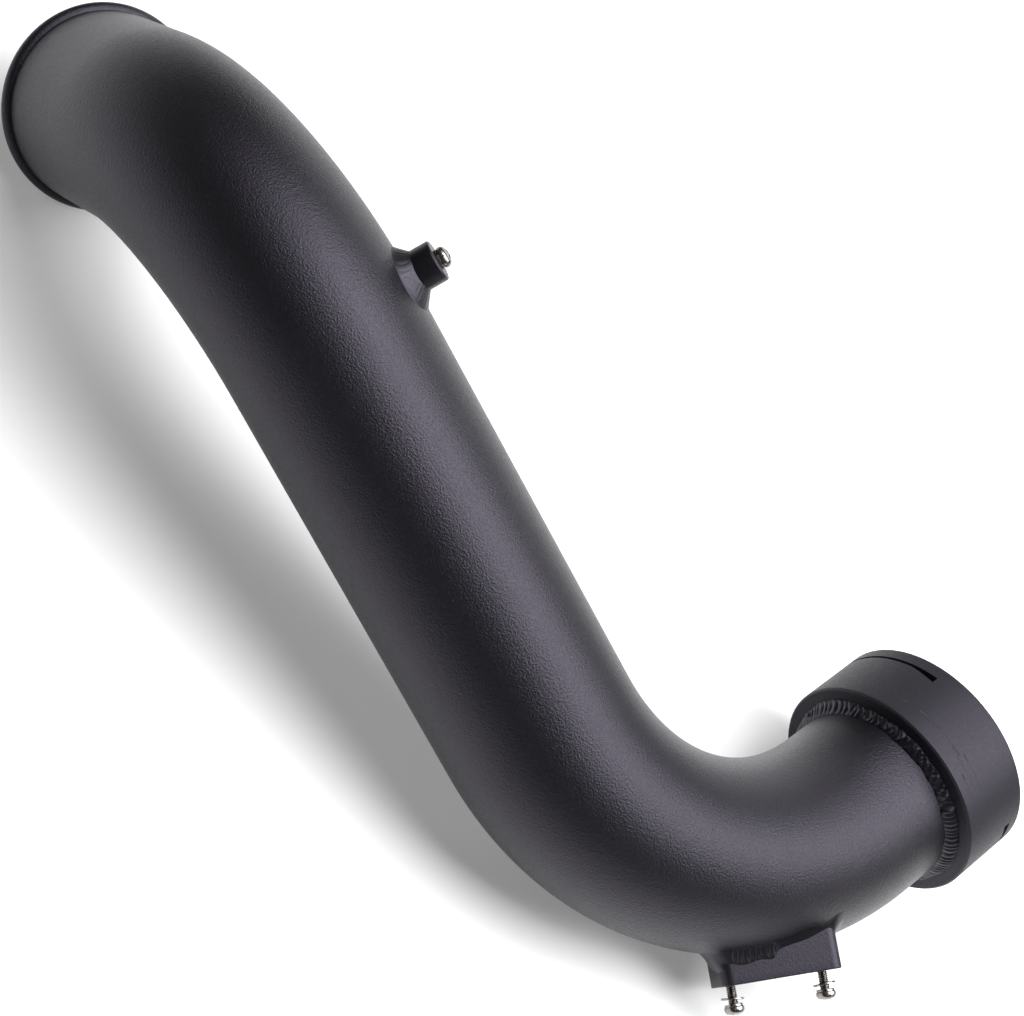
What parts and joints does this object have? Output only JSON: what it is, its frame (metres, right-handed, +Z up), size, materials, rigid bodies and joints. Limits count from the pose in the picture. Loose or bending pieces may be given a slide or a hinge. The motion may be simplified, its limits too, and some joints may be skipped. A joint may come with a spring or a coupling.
{
  "type": "intercooler charge pipe",
  "caption": "Bent, welded, black powder-coated aluminium charge pipe with a beaded hose end, a socket collar, a sensor flange and a threaded boss.",
  "frame": {"origin": "middle of the footprint's box, on the floor under the pipe as it rests", "axes": "+X along the longest extent, from the socket collar to the beaded end; +Z up from the floor, the shortest extent; the socket opens towards -Y"},
  "size_m": [0.5074, 0.1912, 0.143],
  "materials": {
    "powder_coated_tube": "satin black powder coat with a fine grain",
    "powder_coated_collar": "satin black powder coat over turned aluminium",
    "powder_coated_flange": "satin black powder coat over milled aluminium",
    "powder_coated_boss": "black powder coat over turned aluminium",
    "coated_weld": "black powder coat over a rippled weld",
    "seal_rubber": "matt black rubber",
    "zinc_plated_steel": "bright plated steel"
  },
  "bodies": {
    "root": {"pipe": "powder_coated_tube", "collar": "powder_coated_collar", "collar_weld": "coated_weld", "socket_o_ring": "seal_rubber", "sensor_flange": "powder_coated_flange", "flange_weld": "coated_weld", "boss": "powder_coated_boss", "boss_weld": "coated_weld", "boss_screw": "zinc_plated_steel", "boss_spring_washer": "zinc_plated_steel", "flange_screw_a": "zinc_plated_steel", "flange_screw_b": "zinc_plated_steel", "flat_washer_a": "zinc_plated_steel", "flat_washer_b": "zinc_plated_steel", "spring_washer_a": "zinc_plated_steel", "spring_washer_b": "zinc_plated_steel"}
  },
  "joints": []
}
